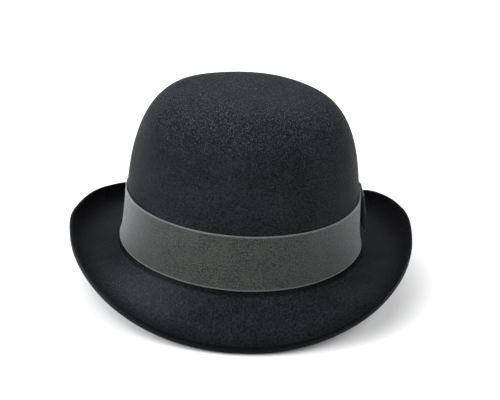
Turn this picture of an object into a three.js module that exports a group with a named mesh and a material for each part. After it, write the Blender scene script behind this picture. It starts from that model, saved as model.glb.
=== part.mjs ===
// A bowler hat: hard felt crown and brim in one piece, a ribbon band with a flat bow on the
// wearer's left, a leather sweatband and a satin lining.
// Millimetres, +Z up. The hat stands on z = 0 on the low front and back of its brim.
// The front faces -Y and the wearer's left is +X. The origin is under the middle of the crown.
import * as THREE from 'three';

const { abs, atan2, ceil, cos, exp, max, min, PI, sin } = Math;
const TURN = 2 * PI;

// ---- Driving dimensions ----

const FELT = 2.2; // thickness of the felt

// The crown, outside the felt. Heights are measured up from its foot, where the brim breaks away.
const CROWN_HALF_WIDTH = 87;
const CROWN_HALF_LENGTH = 102.5;
const CROWN_HEIGHT = 120;
const CROWN_TAPER = 0.03; // share of its width that the wall loses on the way up
const CROWN_RISE_POWER = 4.2; // these two powers shape the round shoulder
const CROWN_WIDTH_POWER = 3.05;
const FOOT_FLARE = 4; // how far the foot spreads into the brim
const FOOT_FLARE_HEIGHT = 9; // how quickly that spread dies away
const FOOT_DIP = 1.5; // how much lower the foot is at the front and back than at the sides
const FOOT_DIP_HEIGHT = 60; // where the dip has died away

// The brim's section, along the felt from the foot of the crown to the edge. Slopes in degrees.
const BRIM_AT_FRONT = { width: 56, slope: -27, curl: 13, edge: 70 };
const BRIM_AT_SIDE = { width: 45, slope: 3, curl: 22, edge: 104 };
// How the section changes from the sides to the front and to the back, where it changes later.
const BRIM_BLEND_POWERS = { front: [2.2, 1.1], back: [2.2, 1.75] };
const BREAK_FILLET = 5; // length of the bend between crown and brim
const FLOOR_WEAR = 0.7; // how far the brim is pressed flat where it stands

// The ribbon round the crown and its bow
const RIBBON = 0.6; // thickness
const RIBBON_WIDTH = 37.5;
const BAND_FOOT = 3.8; // the ribbon's lower edge above the foot of the crown
const BOW_WIDTH = 28; // of its ribbon, which lies along the band's upper edge
const BOW_TURN = 13; // degrees from the middle of the side to the middle of the bow, backwards
const BOW_HALF_LENGTH = 29;
const BOW_BASE_HALF_LENGTH = 11;
const LOOP_PLY = 0.5;
const LOOP_PITCH = 0.8; // middle of one ply of a loop to the middle of the other
const LOOP_END_LIFT = 2.9; // how far the loop ends stand off the band at the lower edge
const LOOP_LEAN = 0.9; // share of that lift that is gone at the upper edge
const LOOP_START = 1; // where each loop starts, from the middle of the bow
const KNOT_HALF_WIDTH = 7;

// The sweatband and its trimmings
const LEATHER = 1.0;
const LEATHER_FOOT = 1.5;
const LEATHER_TOP = 50;
const REED_RADIUS = 0.9;
const THREAD = 0.5; // thickness of the sewing thread
const STITCHING_HEIGHT = 4.5;
const SEAM_ZIGZAGS = 9;
const SEAM_HALF_WIDTH = 1.6;

// The lining
const SATIN = 0.4;
const LINING_FOOT = 34;
const LINING_SEAM_HEIGHT = 96; // where the side wall meets the tip
const LINING_SLACK = 3.5; // how far the lining hangs inside the felt at that seam
const PIPING_RADIUS = 0.6;
const PATCH_HALF_LENGTH = 26;
const PATCH_HALF_WIDTH = 19;

// Stations up the wall of the crown, close together in the flare at its foot, as shares of the width
// of the ribbon or the leather
const WALL_SHARES = [0, 0.08, 0.2, 0.4, 0.7, 1];

const GAP = 0.3; // clearance between pieces that touch
const SIDES = 48; // steps round the hat

// ---- Materials ----

const surface = (color, roughness) => new THREE.MeshStandardMaterial({ color, roughness, metalness: 0 });
const FELT_LOOK = surface(0x1d1d21, 0.95);
const RIBBON_LOOK = surface(0x4c4d4e, 0.8);
const LEATHER_LOOK = surface(0x6a4125, 0.5);
const SATIN_LOOK = surface(0xd8cfbd, 0.35);
const PATCH_LOOK = surface(0xa5905f, 0.6);
const THREAD_LOOK = surface(0x2a2724, 0.7);
const CARD_LOOK = surface(0xe8e2d2, 0.9);

// ---- Small helpers ----

const mix = (a, b, share) => a + (b - a) * share;
const clamp01 = (x) => min(max(x, 0), 1);
const spread = (count) => Array.from({ length: count + 1 }, (_, i) => i / count);

// Keeps only the points that some face uses.
function compact(positions, indices) {
  const renumber = new Map();
  const kept = [];
  const faces = indices.map((old) => {
    if (!renumber.has(old)) {
      renumber.set(old, renumber.size);
      kept.push(...positions.slice(old * 3, old * 3 + 3));
    }
    return renumber.get(old);
  });
  const geometry = new THREE.BufferGeometry();
  geometry.setAttribute('position', new THREE.Float32BufferAttribute(kept, 3));
  geometry.setIndex(faces);
  return geometry;
}

// A body swept round the head opening. sectionAt(t) gives the section at angle t, running down the
// outside and up the inside. closeColumns joins each section's last point to its first. With poles,
// all the sections start at one point and end at another.
function roundTheHead(sectionAt, { closeColumns = false, poles = false }) {
  const rows = Array.from({ length: SIDES }, (_, i) => sectionAt((i / SIDES) * TURN));
  const count = rows[0].length;
  const positions = rows.flat().flatMap((p) => [p.x, p.y, p.z]);
  const isPole = (column) => poles && (column === 0 || column === count - 1);
  const index = (row, column) => (isPole(column) ? column : row * count + column);
  const indices = [];
  for (let i = 0; i < SIDES; i++) {
    const next = (i + 1) % SIDES;
    for (let j = 0; j < (closeColumns ? count : count - 1); j++) {
      const below = (j + 1) % count;
      const [a, b, c, d] = [index(i, j), index(i, below), index(next, below), index(next, j)];
      if (b !== c) indices.push(a, b, c);
      if (a !== d) indices.push(a, c, d);
    }
  }
  return compact(positions, indices);
}

// A thin sheet of even thickness. pointAt(u, v) is its middle surface for u and v from 0 to 1.
function sheetGeometry(pointAt, { alongU, alongV, thickness }) {
  const STEP = 1e-3;
  const offset = (u, v, side) => {
    const here = pointAt(u, v);
    const du = pointAt(u + STEP, v).sub(pointAt(u - STEP, v));
    const dv = pointAt(u, v + STEP).sub(pointAt(u, v - STEP));
    return here.addScaledVector(du.cross(dv).normalize(), (side * thickness) / 2);
  };
  const rows = alongU.map((u) => {
    const front = alongV.map((v) => offset(u, v, 1));
    const back = alongV.map((v) => offset(u, v, -1)).reverse();
    return [...front, ...back];
  });
  return sheetFaces(rows, alongV.length);
}

// Faces of a sheet whose rows hold the front points and then the back points in reverse.
function sheetFaces(rows, width) {
  const count = 2 * width;
  const positions = rows.flat().flatMap((p) => [p.x, p.y, p.z]);
  const indices = [];
  const quad = (a, b, c, d) => indices.push(a, b, c, a, c, d);
  for (let i = 0; i < rows.length - 1; i++) {
    for (let j = 0; j < count; j++) {
      const next = (j + 1) % count;
      quad(i * count + j, (i + 1) * count + j, (i + 1) * count + next, i * count + next);
    }
  }
  const end = (rows.length - 1) * count;
  for (let j = 0; j < width - 1; j++) {
    const opposite = count - 1 - j;
    quad(j, j + 1, opposite - 1, opposite);
    quad(end + opposite, end + opposite - 1, end + j + 1, end + j);
  }
  return compact(positions, indices);
}

// ---- The crown's surface ----

// The point at angle t and height h above the foot, inset horizontally from the felt's outside.
function crownPoint(t, h, inset) {
  const rise = min(max(h / (CROWN_HEIGHT - inset), 0), 1);
  const width = (1 - CROWN_TAPER * rise) * (1 - rise ** CROWN_RISE_POWER) ** (1 / CROWN_WIDTH_POWER);
  const flare = FOOT_FLARE * exp(-h / FOOT_FLARE_HEIGHT);
  const dip = FOOT_DIP * sin(t) ** 2 * clamp01(1 - h / FOOT_DIP_HEIGHT);
  return new THREE.Vector3(
    ((CROWN_HALF_WIDTH - inset) * width + flare) * cos(t),
    ((CROWN_HALF_LENGTH - inset) * width + flare) * sin(t),
    FOOT_HEIGHT + h - dip,
  );
}

// The point above (x, y) on the crown's top, inset evenly from the felt's outside.
function topPoint(x, y, inset) {
  const reach = Math.hypot(x / (CROWN_HALF_WIDTH - inset), y / (CROWN_HALF_LENGTH - inset));
  const rise = (1 - (reach / (1 - CROWN_TAPER)) ** CROWN_WIDTH_POWER) ** (1 / CROWN_RISE_POWER);
  return new THREE.Vector3(x, y, FOOT_HEIGHT + (CROWN_HEIGHT - inset) * rise);
}

// Heights from the top of the crown down to the foot, as shares of the whole height: close
// together round the shoulder and in the flare.
function crownRises() {
  const SHOULDER_STEPS = 7;
  const SHOULDER_END = 1.38; // radians of the superellipse's parameter
  const WALL_RISES = [0.27, 0.12, 0.055, 0.02, 0];
  const shoulder = spread(SHOULDER_STEPS).map((s) => cos(s * SHOULDER_END) ** (2 / CROWN_RISE_POWER));
  return [...shoulder, ...WALL_RISES];
}

// ---- The brim's surface ----

// How far round towards the front or back angle t is: 0 at the sides, 1 at the front and back.
function nearnessToFront(t) {
  const [inner, outer] = sin(t) < 0 ? BRIM_BLEND_POWERS.front : BRIM_BLEND_POWERS.back;
  return (1 - abs(cos(t)) ** inner) ** outer;
}

// The slope of the brim at distance s along its section, in radians.
function brimSlope(t, s) {
  const toFront = nearnessToFront(t);
  const at = (name) => mix(BRIM_AT_SIDE[name], BRIM_AT_FRONT[name], toFront);
  const curl = clamp01((s - at('width') + at('curl')) / at('curl'));
  const slope = THREE.MathUtils.degToRad(mix(at('slope'), at('edge'), curl));
  const footSlope = -atan2(FOOT_FLARE_HEIGHT, FOOT_FLARE);
  return mix(slope, footSlope, clamp01(1 - s / BREAK_FILLET) ** 2);
}

// Distance out, height and slope of the brim's upper face at s, from the foot of the crown.
function brimPoint(t, s) {
  const STEP = 0.5; // millimetres along the section between two looks at the slope
  const steps = max(1, ceil(s / STEP));
  const ds = s / steps;
  let out = 0;
  let up = 0;
  for (let i = 0; i < steps; i++) {
    const slope = brimSlope(t, (i + 0.5) * ds);
    out += cos(slope) * ds;
    up += sin(slope) * ds;
  }
  return { out, up, slope: brimSlope(t, s) };
}

// Stations along the section: the bend, the plain slope and the curl.
function brimStations(t) {
  const toFront = nearnessToFront(t);
  const width = mix(BRIM_AT_SIDE.width, BRIM_AT_FRONT.width, toFront);
  const curlStart = width - mix(BRIM_AT_SIDE.curl, BRIM_AT_FRONT.curl, toFront);
  const BEND_SHARES = [0.4, 1];
  const CURL_STEPS = 8;
  const bend = BEND_SHARES.map((share) => BREAK_FILLET * share);
  const slope = [0.5, 1].map((share) => mix(BREAK_FILLET, curlStart, share));
  const curl = spread(CURL_STEPS).slice(1).map((share) => mix(curlStart, width, share));
  return [...bend, ...slope, ...curl];
}

// The foot stands so high that the brim's lowest line lies FLOOR_WEAR under z = 0.
const FRONT = -PI / 2;
const SEARCH_STEPS = 200;
const lowestAtFront = min(
  ...spread(SEARCH_STEPS).map((share) => {
    const point = brimPoint(FRONT, share * BRIM_AT_FRONT.width);
    return point.up - FELT * cos(point.slope);
  }),
);
const FOOT_HEIGHT = FOOT_DIP - lowestAtFront - FLOOR_WEAR;

// ---- Felt body ----

function feltBody() {
  const rises = crownRises();
  const section = (t) => {
    const foot = crownPoint(t, 0, 0);
    const normal = new THREE.Vector3(cos(t) / CROWN_HALF_WIDTH, sin(t) / CROWN_HALF_LENGTH, 0);
    const outward = normal.normalize();
    const place = (out, up) => foot.clone().addScaledVector(outward, out).setZ(foot.z + up);
    const upper = brimStations(t).map((s) => brimPoint(t, s));
    const under = [brimPoint(t, 0), ...upper].reverse();
    const edge = upper.at(-1);
    const radius = FELT / 2;
    const middle = { out: edge.out + radius * sin(edge.slope), up: edge.up - radius * cos(edge.slope) };
    const roundEdge = [0.75, 0.5, 0.25].map((share) => {
      const turn = edge.slope - PI / 2 + share * PI;
      return place(middle.out + radius * cos(turn), middle.up + radius * sin(turn));
    });
    const below = under.map((p) => {
      const point = place(p.out + FELT * sin(p.slope), p.up - FELT * cos(p.slope));
      return point.setZ(max(point.z, 0));
    });
    return [
      ...rises.map((rise) => crownPoint(t, rise * CROWN_HEIGHT, 0)),
      ...upper.map((p) => place(p.out, p.up)),
      ...roundEdge,
      ...below,
      ...rises.map((rise) => crownPoint(t, rise * (CROWN_HEIGHT - FELT), FELT)).reverse(),
    ];
  };
  return roundTheHead(section, { poles: true });
}

// ---- Rings that follow the crown ----

// A ring of even thickness between two heights. Its middle is insetAt(h) from the felt's outside.
function crownRing({ foot, top, insetAt, thickness, shares }) {
  const heights = shares.map((share) => mix(foot, top, share));
  const section = (t) => {
    const side = (sign) => heights.map((h) => crownPoint(t, h, insetAt(h) + (sign * thickness) / 2));
    return [...side(-1).reverse(), ...side(1)];
  };
  return roundTheHead(section, { closeColumns: true });
}

// A round cord that follows the crown at one height.
function crownCord({ height, inset, radius, sides = 5 }) {
  const section = (t) =>
    Array.from({ length: sides }, (_, i) => {
      const turn = (-i / sides) * TURN;
      const point = crownPoint(t, height, inset - radius * cos(turn));
      return point.setZ(point.z + radius * sin(turn));
    });
  return roundTheHead(section, { closeColumns: true });
}

// ---- Ribbon band and bow ----

const BAND_INSET = -(GAP + RIBBON / 2);
const BAND_FACE = -(GAP + RIBBON); // inset of the ribbon's outer face

const bandRibbon = () =>
  crownRing({
    foot: BAND_FOOT,
    top: BAND_FOOT + RIBBON_WIDTH,
    insetAt: () => BAND_INSET,
    thickness: RIBBON,
    shares: WALL_SHARES,
  });

// A point of the bow: y along the band from the bow's middle, share up the width of the bow's
// ribbon, lift off the band's face.
function overBand(y, share, lift) {
  const t = THREE.MathUtils.degToRad(BOW_TURN) + Math.asin(y / CROWN_HALF_LENGTH);
  return crownPoint(t, BAND_FOOT + RIBBON_WIDTH - BOW_WIDTH * (1 - share), BAND_FACE - lift);
}

// How far a loop stands off the band. It is stiffer than the crown is curved, so its ends stand
// clear, most of all at the lower edge.
function loopLift(y, share) {
  const sewn = GAP + RIBBON + GAP;
  const toEnd = (abs(y) / BOW_HALF_LENGTH) ** 2;
  return sewn + (LOOP_END_LIFT - sewn) * toEnd * (1 - LOOP_LEAN * clamp01(share) ** 1.5);
}

// How far the knot's outer face stands off the band.
const KNOT_FACE = loopLift(0, 0) + LOOP_PLY + LOOP_PITCH + GAP + RIBBON;

const bowBase = () =>
  sheetGeometry(
    (u, v) => overBand(mix(-BOW_BASE_HALF_LENGTH, BOW_BASE_HALF_LENGTH, u), v, GAP + RIBBON / 2),
    { alongU: spread(6), alongV: WALL_SHARES, thickness: RIBBON },
  );

// One loop: out along the inner ply, round the nose and back along the outer ply.
function bowLoop(direction) {
  const NOSE = 0.08; // share of the path that goes round the nose
  const inner = (1 - NOSE) / 2;
  const noseStart = BOW_HALF_LENGTH - LOOP_PITCH / 2;
  const path = (u) => {
    if (u < inner) return { y: mix(LOOP_START, noseStart, u / inner), rise: 0 };
    if (u > 1 - inner) return { y: mix(LOOP_START, noseStart, (1 - u) / inner), rise: LOOP_PITCH };
    const turn = ((u - inner) / NOSE) * PI;
    return { y: noseStart + (LOOP_PITCH / 2) * sin(turn), rise: (LOOP_PITCH / 2) * (1 - cos(turn)) };
  };
  const pointAt = (u, v) => {
    const { y, rise } = path(u);
    return overBand(direction * y, v, loopLift(y, v) + LOOP_PLY / 2 + rise);
  };
  const ply = spread(6).map((share) => share * inner);
  const nose = [0.25, 0.5, 0.75].map((share) => inner + share * NOSE);
  const alongU = [...ply, ...nose, ...ply.map((u) => 1 - u).reverse()];
  return sheetGeometry(pointAt, { alongU, alongV: WALL_SHARES, thickness: LOOP_PLY });
}

// The knot: a narrow ribbon across the loops that turns in over their upper and lower edges.
function bowKnot() {
  const RETURN = 1.6; // how far its ends turn in
  const outer = KNOT_FACE;
  const inner = KNOT_FACE - RIBBON;
  const turnedIn = KNOT_FACE - RETURN;
  const margin = GAP / BOW_WIDTH;
  const beyond = (GAP + RIBBON) / BOW_WIDTH;
  const middle = WALL_SHARES.slice(1, -1);
  const outside = [
    { share: -beyond, lift: turnedIn },
    { share: -beyond, lift: outer },
    ...middle.map((share) => ({ share, lift: outer })),
    { share: 1 + beyond, lift: outer },
    { share: 1 + beyond, lift: turnedIn },
  ];
  const inside = [
    { share: -margin, lift: turnedIn },
    { share: -margin, lift: inner },
    ...middle.map((share) => ({ share, lift: inner })),
    { share: 1 + margin, lift: inner },
    { share: 1 + margin, lift: turnedIn },
  ];
  const outline = [...outside, ...inside.reverse()];
  const rows = spread(4).map((along) => {
    const y = mix(-KNOT_HALF_WIDTH, KNOT_HALF_WIDTH, along);
    return outline.map((p) => overBand(y, p.share, p.lift));
  });
  return sheetFaces(rows, outside.length);
}

// A small bar of thread that lies on a surface, between two points of pointAt(along, lift).
function tack(pointAt) {
  const HALF_LENGTH = 1.2;
  return sheetGeometry((u, v) => pointAt(mix(-HALF_LENGTH, HALF_LENGTH, u), (v - 0.5) * THREAD), {
    alongU: spread(2),
    alongV: spread(1),
    thickness: THREAD,
  });
}

// A tack on the band at angle t, just inside the ribbon's upper edge.
function bandTack(t) {
  const FROM_EDGE = 1.5;
  const height = BAND_FOOT + RIBBON_WIDTH - FROM_EDGE;
  const inset = BAND_FACE - GAP - THREAD / 2;
  return tack((along, across) => crownPoint(t + across / CROWN_HALF_LENGTH, height + along, inset));
}

// A tack on the knot, holding the bow to the band, at a share of the ribbon's width.
function bowTack(share) {
  const lift = KNOT_FACE + GAP + THREAD / 2;
  return tack((along, across) => overBand(across, share + along / BOW_WIDTH, lift));
}

// ---- Sweatband ----

const LINING_INSET = FELT + GAP + SATIN / 2;
const LEATHER_INSET = LINING_INSET + SATIN / 2 + GAP + LEATHER / 2;
const LEATHER_FACE = LEATHER_INSET + LEATHER / 2;

const sweatband = () =>
  crownRing({
    foot: LEATHER_FOOT,
    top: LEATHER_TOP,
    insetAt: () => LEATHER_INSET,
    thickness: LEATHER,
    shares: WALL_SHARES,
  });

const sweatbandReed = () =>
  crownCord({ height: LEATHER_FOOT - GAP - REED_RADIUS, inset: LEATHER_INSET, radius: REED_RADIUS });

const reedStitching = () =>
  crownCord({
    height: STITCHING_HEIGHT,
    inset: LEATHER_FACE + GAP + THREAD / 2,
    radius: THREAD / 2,
    sides: 4,
  });

// A point inside the leather at the back: x across, h up, lift off the leather's face.
function insideBack(x, h, lift) {
  const t = PI / 2 - x / CROWN_HALF_WIDTH;
  return crownPoint(t, h, LEATHER_FACE + lift);
}

function backSeam() {
  const MARGIN = 5; // plain leather below and above the zigzag
  const sway = (u) => {
    const phase = THREE.MathUtils.euclideanModulo(u * SEAM_ZIGZAGS, 1);
    return SEAM_HALF_WIDTH * (1 - 4 * abs(phase - 0.5));
  };
  const height = (u) => mix(LEATHER_FOOT + MARGIN, LEATHER_TOP - MARGIN, u);
  const pointAt = (u, v) => insideBack(sway(u) + (v - 0.5) * THREAD, height(u), GAP + THREAD / 2);
  return sheetGeometry(pointAt, {
    alongU: spread(2 * SEAM_ZIGZAGS),
    alongV: spread(1),
    thickness: THREAD,
  });
}

// The small bow over the foot of the seam: narrow in the middle and wide at its ends.
const SMALL_BOW_HEIGHT = 12;
const SMALL_BOW_LIFT = 2 * GAP + THREAD + RIBBON / 2;

function smallBow() {
  const HALF_LENGTH = 12;
  const WAIST = 2;
  const END = 4.5;
  const halfHeight = (x) => mix(WAIST, END, abs(x) / HALF_LENGTH);
  const pointAt = (u, v) => {
    const x = mix(-HALF_LENGTH, HALF_LENGTH, u);
    return insideBack(x, SMALL_BOW_HEIGHT + mix(-1, 1, v) * halfHeight(x), SMALL_BOW_LIFT);
  };
  return sheetGeometry(pointAt, { alongU: spread(8), alongV: spread(2), thickness: RIBBON });
}

function smallBowKnot() {
  const HALF_WIDTH = 1.8;
  const HALF_HEIGHT = 3;
  const lift = SMALL_BOW_LIFT + RIBBON + GAP;
  const height = (v) => SMALL_BOW_HEIGHT + mix(-HALF_HEIGHT, HALF_HEIGHT, v);
  const pointAt = (u, v) => insideBack(mix(-HALF_WIDTH, HALF_WIDTH, u), height(v), lift);
  return sheetGeometry(pointAt, { alongU: spread(2), alongV: spread(2), thickness: RIBBON });
}

// ---- Lining ----

// The lining lies against the felt behind the leather and hangs clear of it above.
function liningInset(h) {
  const share = clamp01((h - LEATHER_TOP) / (LINING_SEAM_HEIGHT - LEATHER_TOP));
  return LINING_INSET + LINING_SLACK * share;
}

const TIP_INSET = liningInset(LINING_SEAM_HEIGHT);

const liningSide = () =>
  crownRing({
    foot: LINING_FOOT,
    top: LINING_SEAM_HEIGHT,
    insetAt: liningInset,
    thickness: SATIN,
    shares: spread(5),
  });

// The tip: a shallow oval cap over the seam.
function liningTip() {
  const STEPS = 5;
  const seamRise = (LINING_SEAM_HEIGHT + GAP) / (CROWN_HEIGHT - TIP_INSET);
  const seamTurn = Math.acos(seamRise ** (CROWN_RISE_POWER / 2));
  const rises = spread(STEPS).map((share) => cos(share * seamTurn) ** (2 / CROWN_RISE_POWER));
  const face = (t, inset) => rises.map((rise) => crownPoint(t, rise * (CROWN_HEIGHT - inset), inset));
  const section = (t) => {
    const upper = face(t, TIP_INSET - SATIN / 2);
    const under = face(t, TIP_INSET + SATIN / 2);
    return [...upper, ...under.reverse()];
  };
  return roundTheHead(section, { poles: true });
}

const liningPiping = () =>
  crownCord({
    height: LINING_SEAM_HEIGHT,
    inset: TIP_INSET + SATIN / 2 + 2 * GAP + PIPING_RADIUS,
    radius: PIPING_RADIUS,
    sides: 4,
  });

// The patch: an oval of woven ribbon under the middle of the tip.
function crestPatch() {
  const inset = TIP_INSET + SATIN / 2 + 2 * GAP + SATIN / 2;
  const RIM_SQUARENESS = 0.5; // how far the square grid is rounded into an oval
  const pointAt = (u, v) => {
    const [a, b] = [mix(-1, 1, u), mix(-1, 1, v)];
    const x = PATCH_HALF_WIDTH * a * Math.sqrt(1 - RIM_SQUARENESS * b * b);
    const y = PATCH_HALF_LENGTH * b * Math.sqrt(1 - RIM_SQUARENESS * a * a);
    return topPoint(x, y, inset);
  };
  return sheetGeometry(pointAt, { alongU: spread(8), alongV: spread(8), thickness: SATIN });
}

// The ticket: a slip of card on the lining, just above the leather and off to one side.
function sizeTicket() {
  const HALF_LENGTH = 9;
  const HEIGHTS = [LEATHER_TOP + 2, LEATHER_TOP + 12];
  const PLACE = 2.0; // angle round the hat, in radians: just to the right of the back
  const pointAt = (u, v) => {
    const h = mix(...HEIGHTS, v);
    const t = PLACE - mix(-HALF_LENGTH, HALF_LENGTH, u) / CROWN_HALF_LENGTH;
    return crownPoint(t, h, liningInset(h) + SATIN + 2 * GAP);
  };
  return sheetGeometry(pointAt, { alongU: spread(4), alongV: spread(2), thickness: SATIN });
}

// ---- Assembly ----

function piece(name, geometry, material) {
  const mesh = new THREE.Mesh(geometry, material);
  mesh.name = name;
  geometry.computeVertexNormals();
  return mesh;
}

const TACK_SHARES = { upper: 0.9, lower: 0.1 };

const hat = new THREE.Group();
hat.name = 'bowler_hat';

const band = new THREE.Group();
band.add(
  piece('band_ribbon', bandRibbon(), RIBBON_LOOK),
  piece('band_tack_front', bandTack(FRONT), THREAD_LOOK),
  piece('band_tack_right', bandTack(PI), THREAD_LOOK),
  piece('band_tack_rear', bandTack(PI / 2), THREAD_LOOK),
);

const bow = new THREE.Group();
bow.add(
  piece('bow_base', bowBase(), RIBBON_LOOK),
  piece('bow_front_loop', bowLoop(-1), RIBBON_LOOK),
  piece('bow_rear_loop', bowLoop(1), RIBBON_LOOK),
  piece('bow_knot', bowKnot(), RIBBON_LOOK),
  piece('bow_tack_upper', bowTack(TACK_SHARES.upper), THREAD_LOOK),
  piece('bow_tack_lower', bowTack(TACK_SHARES.lower), THREAD_LOOK),
);

const sweat = new THREE.Group();
sweat.add(
  piece('sweatband', sweatband(), LEATHER_LOOK),
  piece('sweatband_reed', sweatbandReed(), LEATHER_LOOK),
  piece('reed_stitching', reedStitching(), THREAD_LOOK),
  piece('sweatband_back_seam', backSeam(), THREAD_LOOK),
  piece('sweatband_bow', smallBow(), RIBBON_LOOK),
  piece('sweatband_bow_knot', smallBowKnot(), RIBBON_LOOK),
);

const lining = new THREE.Group();
lining.add(
  piece('lining_side', liningSide(), SATIN_LOOK),
  piece('lining_tip', liningTip(), SATIN_LOOK),
  piece('lining_piping', liningPiping(), SATIN_LOOK),
  piece('crest_patch', crestPatch(), PATCH_LOOK),
  piece('size_ticket', sizeTicket(), CARD_LOOK),
);

hat.add(piece('felt_body', feltBody(), FELT_LOOK), band, bow, sweat, lining);

export default hat;
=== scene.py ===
from math import cos, pi, radians, sin

import bmesh
import bpy
import numpy as np
from mathutils import Matrix, Vector, noise


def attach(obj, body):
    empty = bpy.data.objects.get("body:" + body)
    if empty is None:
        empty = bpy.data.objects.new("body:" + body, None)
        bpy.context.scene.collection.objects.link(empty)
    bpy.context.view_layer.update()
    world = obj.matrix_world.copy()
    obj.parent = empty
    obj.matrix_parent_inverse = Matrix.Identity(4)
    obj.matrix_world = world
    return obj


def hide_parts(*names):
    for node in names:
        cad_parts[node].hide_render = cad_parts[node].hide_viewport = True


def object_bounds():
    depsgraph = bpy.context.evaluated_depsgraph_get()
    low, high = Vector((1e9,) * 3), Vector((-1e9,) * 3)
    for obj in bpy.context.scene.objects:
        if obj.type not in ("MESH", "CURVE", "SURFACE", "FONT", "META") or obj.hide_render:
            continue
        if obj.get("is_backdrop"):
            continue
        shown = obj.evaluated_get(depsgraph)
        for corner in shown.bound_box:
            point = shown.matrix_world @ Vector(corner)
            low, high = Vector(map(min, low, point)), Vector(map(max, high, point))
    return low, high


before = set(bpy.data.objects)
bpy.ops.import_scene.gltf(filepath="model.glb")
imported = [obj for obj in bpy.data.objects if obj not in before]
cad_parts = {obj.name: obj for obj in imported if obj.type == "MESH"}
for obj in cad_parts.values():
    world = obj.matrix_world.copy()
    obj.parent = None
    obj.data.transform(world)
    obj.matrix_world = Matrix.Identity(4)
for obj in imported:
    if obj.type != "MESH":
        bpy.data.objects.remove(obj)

CAD_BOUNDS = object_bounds()
MM = 0.001
TURN = 2 * pi

# ---- Driving dimensions, as in the CAD part (mm; angles in degrees) ----

FELT = 2.2  # thickness of the felt
CROWN_HALF_WIDTH = 87  # at the crown's foot, without its flare
CROWN_HALF_LENGTH = 102.5
CROWN_HEIGHT = 120
CROWN_TAPER = 0.03  # share of its width that the crown loses towards the top
CROWN_RISE_POWER = 4.2  # these two powers set the dome's curve
CROWN_WIDTH_POWER = 3.05
FOOT_FLARE = 4  # how far the crown's foot spreads out into the brim
FOOT_FLARE_HEIGHT = 9
FOOT_DIP = 1.5  # how much lower the foot is at the front and the back than at the sides
FOOT_DIP_HEIGHT = 60
# A section of the brim: its width, its slope up to the curl, the curl's length and the edge's slope
BRIM_AT_FRONT = {"width": 56, "slope": -27, "curl": 13, "edge": 70}
BRIM_AT_SIDE = {"width": 45, "slope": 3, "curl": 22, "edge": 104}
BRIM_BLEND_POWERS = {"front": (2.2, 1.1), "back": (2.2, 1.75)}
BREAK_FILLET = 5  # length of the bend between crown and brim
FLOOR_WEAR = 0.7  # how far the brim is pressed flat where it stands

RIBBON = 0.6  # thickness of the ribbon
RIBBON_WIDTH = 37.5
BAND_FOOT = 3.8  # height of its lower edge over the crown's foot
BOW_WIDTH = 28
BOW_TURN = 13  # degrees behind the middle of the wearer's left side
BOW_HALF_LENGTH = 29
BOW_BASE_HALF_LENGTH = 11
LOOP_PLY = 0.5  # thickness of one ply
LOOP_PITCH = 0.8  # how far apart a loop's two plies are
LOOP_END_LIFT = 2.9  # how far a loop's nose stands off the band at its lower edge
LOOP_LEAN = 0.9  # share of that which is lost towards its upper edge
LOOP_START = 1  # distance from the bow's middle
KNOT_HALF_WIDTH = 7

LEATHER = 1.0  # thickness; the heights below are over the crown's foot
LEATHER_FOOT = 1.5
LEATHER_TOP = 50
REED_RADIUS = 0.9
THREAD = 0.5  # diameter
STITCHING_HEIGHT = 4.5
SEAM_ZIGZAGS = 9
SEAM_HALF_WIDTH = 1.6

SATIN = 0.4  # thickness
LINING_FOOT = 34
LINING_SEAM_HEIGHT = 96
LINING_SLACK = 3.5  # how far the lining hangs off the felt at its upper seam
PIPING_RADIUS = 0.6
PATCH_HALF_LENGTH = 26
PATCH_HALF_WIDTH = 19

GAP = 0.3  # clearance between pieces that touch

# ---- Driving dimensions of the looks (mm) ----

SIDES = 300  # steps round the hat
UNEVENNESS = 0.35  # how far worn felt strays from its block
UNEVEN_LENGTH = 38  # size of one such stray
UNEVEN_FROM = 12  # height over the floor from which it strays in full
RIB_PITCH = 1.2  # one rib of the grosgrain
RIB_HEIGHT = 0.05
SELVEDGE = 0.9  # width of the ribbon's woven edge
NOSE_PITCH = 0.55  # how far apart a bow loop's two plies are at its nose
LOOP_SPRING = 0.9  # how much further a worn loop's nose stands off, halfway up
BRIM_RAISED = 3.2  # how much higher the worn brim stands on the left, and lower on the right
BRIM_SUNK = 1.2  # how much lower it is behind the crown's middle
BRIM_HALF_WIDTH = 127  # of the oval whose outer part is raised and sunk
BRIM_HALF_LENGTH = 157
RIGHT_SHOULDER = 3.0  # how much fuller the crown's right shoulder is than its block
LEFT_SHOULDER = 2.0
STRAY_SEED = 1  # without a seed, Blender's vector noise is different in each run
STITCH_LENGTH = 3.2
STITCH_SPACING = 4.3
LINING_FOLDS = 46

# ---- Small helpers ----


def mix(a, b, share):
    return a + (b - a) * share


def smooth(x, low, high):
    """0 below low and 1 above high, with a soft change between."""
    share = np.clip((x - low) / (high - low), 0, 1)
    return share * share * (3 - 2 * share)


def bell(x, middle, width):
    return np.exp(-(((x - middle) / width) ** 2))


def settle(points):
    """Moves points by the slow unevenness of worn felt, which dies away near the floor."""
    moved = np.array(points, float)
    flat = moved.reshape(-1, 3)
    for point in flat:
        stray = noise.noise_vector(Vector(point / UNEVEN_LENGTH))
        point += UNEVENNESS * min(1, point[2] / UNEVEN_FROM) * np.array(stray)
    return moved


# ---- Making meshes ----


def show(piece, material, *nodes, slot):
    """Gives a piece its look, lets it ride on the hat and stand for its CAD nodes."""
    piece.data.materials.append(material)
    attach(piece, "root")
    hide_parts(*nodes)
    return piece


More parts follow.
